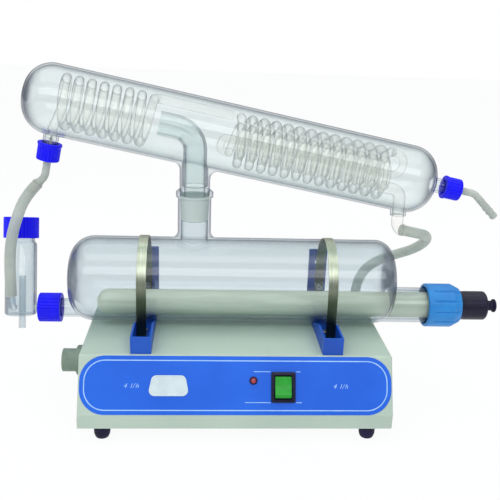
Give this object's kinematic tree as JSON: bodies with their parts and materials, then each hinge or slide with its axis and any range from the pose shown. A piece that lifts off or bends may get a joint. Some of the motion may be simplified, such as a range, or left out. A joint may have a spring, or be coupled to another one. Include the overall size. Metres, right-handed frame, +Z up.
{
  "type": "water still",
  "caption": "Bench water still with a heated horizontal glass boiler, a tilted glass condenser with cooling coils, and a level vessel on a steel base.",
  "frame": {"origin": "middle of the overall box's foot, on the bench under the feet", "axes": "+X to the heater's side, +Y from the control panel to the back, +Z up"},
  "size_m": [0.587, 0.2131, 0.3865],
  "materials": {
    "casing": "light grey enamel",
    "feet": "black",
    "fasteners": "zinc plated",
    "label": "blue printed foil",
    "badge": "white",
    "black_plastic": "black",
    "lens": "red",
    "rocker": "green",
    "grey_plastic": "grey",
    "brackets": "blue enamel",
    "straps": "brushed",
    "glass": "clear",
    "caps": "deep blue",
    "nut": "light blue",
    "seals": "white silicone",
    "sheath": "white ceramic glaze",
    "boot": "black",
    "spouts": "milky white",
    "hoses": "translucent white silicone"
  },
  "bodies": {
    "base": {"base_casing": "casing", "bottom_plate": "casing", "foot_front_left": "feet", "foot_front_right": "feet", "foot_rear_left": "feet", "foot_rear_right": "feet", "foot_screws": "fasteners", "foot_nuts": "fasteners", "front_label": "label", "badge_plate": "badge", "lamp_body": "black_plastic", "lamp_lens": "lens", "switch_body": "black_plastic", "water_inlet": "grey_plastic", "inlet_valve": "grey_plastic", "inner_hose": "hoses", "hose_nipple": "spouts", "mains_gland": "black_plastic", "heater_gland": "black_plastic", "terminal_block": "grey_plastic", "bracket_left": "brackets", "bracket_right": "brackets", "strap_left": "straps", "strap_right": "straps", "bracket_screws": "fasteners", "strap_screws": "fasteners", "boiler_vessel": "glass", "boiler_cap_seal": "seals", "level_vessel": "glass"},
    "power_rocker": {"rocker": "rocker"},
    "feed_cap": {"boiler_cap": "caps"},
    "condenser": {"condenser_jacket": "glass", "steam_elbow": "glass", "left_coil": "glass", "right_outer_coil": "glass", "right_inner_coil": "glass", "link_tube": "glass", "return_tube": "glass", "coolant_outlet_tube": "glass", "coolant_inlet_tube": "glass", "left_port_seal": "seals", "left_port_spout": "spouts", "left_hose": "hoses", "right_hose": "hoses"},
    "coolant_cap": {"left_port_cap": "caps"},
    "outlet_spout": {"product_spout": "spouts", "product_seal": "seals"},
    "outlet_cap": {"product_cap": "caps"},
    "vessel_liner": {"level_cap_liner": "seals"},
    "vessel_cap": {"level_cap": "caps"},
    "heater": {"heater_sheath": "sheath", "heater_core": "sheath", "heater_seal": "seals", "heater_cap": "black_plastic", "cable_boot": "boot"},
    "union_nut": {"heater_nut": "nut"}
  },
  "joints": [
    {"name": "power_switch", "type": "hinge", "parent": "base", "child": "power_rocker", "pos_m": [0.0272, -0.09372, 0.05898], "axis": [1, 0, 0], "range_deg": [0, 22]},
    {"name": "feed_cap_turn", "type": "hinge", "parent": "base", "child": "feed_cap", "pos_m": [-0.2375, 0.0115, 0.107], "axis": [-1, 0, 0], "range_deg": [0, 90]},
    {"name": "condenser_lift", "type": "slide", "parent": "base", "child": "condenser", "axis": [0, 0, 1], "range_m": [0, 0.06]},
    {"name": "coolant_cap_turn", "type": "hinge", "parent": "condenser", "child": "coolant_cap", "pos_m": [-0.23082, 0.0115, 0.30062], "axis": [-0.1942, 0, -0.981], "range_deg": [0, 90]},
    {"name": "outlet_spout_slide", "type": "slide", "parent": "condenser", "child": "outlet_spout", "axis": [0.981, 0, -0.1942], "range_m": [0, 0.012]},
    {"name": "outlet_cap_turn", "type": "hinge", "parent": "outlet_spout", "child": "outlet_cap", "pos_m": [0.21326, 0.0115, 0.26112], "axis": [0.981, 0, -0.1942], "range_deg": [0, 1440]},
    {"name": "vessel_liner_slide", "type": "slide", "parent": "base", "child": "vessel_liner", "axis": [0, 0.2672, 0.9636], "range_m": [0, 0.012]},
    {"name": "vessel_cap_turn", "type": "hinge", "parent": "vessel_liner", "child": "vessel_cap", "pos_m": [-0.2735, 0.03555, 0.19373], "axis": [0, 0.2672, 0.9636], "range_deg": [0, 1080]},
    {"name": "heater_withdrawal", "type": "slide", "parent": "base", "child": "heater", "axis": [1, 0, 0], "range_m": [0, 0.28]},
    {"name": "union_nut_turn", "type": "hinge", "parent": "heater", "child": "union_nut", "pos_m": [0.2275, 0.0115, 0.1151], "axis": [1, 0, 0], "range_deg": [0, 720]}
  ],
  "couplings": [
    {"joint": "outlet_cap_turn", "follows": "outlet_spout_slide", "rad_per_m": 2094.4},
    {"joint": "vessel_cap_turn", "follows": "vessel_liner_slide", "rad_per_m": 1570.8}
  ]
}
